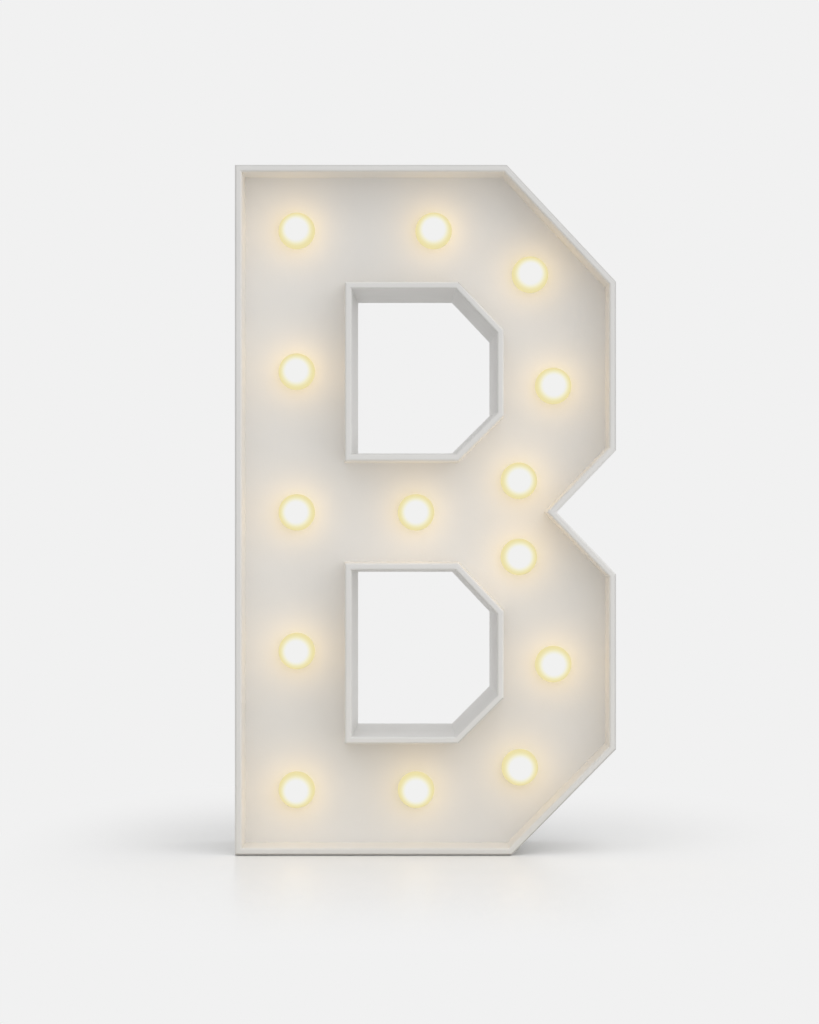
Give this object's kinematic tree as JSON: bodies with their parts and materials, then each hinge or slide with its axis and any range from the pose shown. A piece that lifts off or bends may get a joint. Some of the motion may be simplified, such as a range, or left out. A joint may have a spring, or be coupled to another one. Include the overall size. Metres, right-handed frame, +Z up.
{
  "type": "light-up letter",
  "caption": "White moulded letter B with an open recessed face, warm lit bulb domes, a rear slide switch and a hinged battery door; stands on its base or hangs on two screws.",
  "frame": {"origin": "middle of the base, on the surface that the letter stands on", "axes": "+Z up the letter, front face towards -Y, +X to the right as seen from the front"},
  "size_m": [0.1216, 0.045, 0.22],
  "materials": {
    "tray_plastic": "satin moulded",
    "cover_plastic": "fine texture",
    "dome_plastic": "translucent",
    "led_phosphor": "phosphor",
    "board_laminate": "solder mask",
    "red_insulation": "soft",
    "black_insulation": "soft",
    "screw_steel": "zinc plated",
    "contact_steel": "nickel plated",
    "cell_wrap": "plain sleeve",
    "switch_plastic": "moulded",
    "knob_plastic": "ribbed"
  },
  "bodies": {
    "letter": {"front_shell": "tray_plastic", "back_cover": "cover_plastic", "cover_screws": "screw_steel", "switch_screws": "screw_steel", "aaa_cell_1": "cell_wrap", "aaa_cell_2": "cell_wrap", "positive_contact": "contact_steel", "negative_contact": "contact_steel", "bridge_contact": "contact_steel", "switch_terminals": "contact_steel", "switch_body": "switch_plastic", "red_wires": "red_insulation", "black_wires": "black_insulation", "bulb_dome_01": "dome_plastic", "bulb_dome_02": "dome_plastic", "bulb_dome_03": "dome_plastic", "bulb_dome_04": "dome_plastic", "bulb_dome_05": "dome_plastic", "bulb_dome_06": "dome_plastic", "bulb_dome_07": "dome_plastic", "bulb_dome_08": "dome_plastic", "bulb_dome_09": "dome_plastic", "bulb_dome_10": "dome_plastic", "bulb_dome_11": "dome_plastic", "bulb_dome_12": "dome_plastic", "bulb_dome_13": "dome_plastic", "bulb_dome_14": "dome_plastic", "led_01": "led_phosphor", "led_02": "led_phosphor", "led_03": "led_phosphor", "led_04": "led_phosphor", "led_05": "led_phosphor", "led_06": "led_phosphor", "led_07": "led_phosphor", "led_08": "led_phosphor", "led_09": "led_phosphor", "led_10": "led_phosphor", "led_11": "led_phosphor", "led_12": "led_phosphor", "led_13": "led_phosphor", "led_14": "led_phosphor", "led_board_01": "board_laminate", "led_board_02": "board_laminate", "led_board_03": "board_laminate", "led_board_04": "board_laminate", "led_board_05": "board_laminate", "led_board_06": "board_laminate", "led_board_07": "board_laminate", "led_board_08": "board_laminate", "led_board_09": "board_laminate", "led_board_10": "board_laminate", "led_board_11": "board_laminate", "led_board_12": "board_laminate", "led_board_13": "board_laminate", "led_board_14": "board_laminate"},
    "door": {"battery_door": "cover_plastic"},
    "knob": {"switch_slider": "knob_plastic"}
  },
  "joints": [
    {"name": "door_hinge", "type": "hinge", "parent": "letter", "child": "door", "pos_m": [-0.04215, 0.02, 0.0363], "axis": [-1, 0, 0], "range_deg": [0, 90]},
    {"name": "switch_slide", "type": "slide", "parent": "letter", "child": "knob", "axis": [0, 0, -1], "range_m": [0, 0.002]}
  ]
}
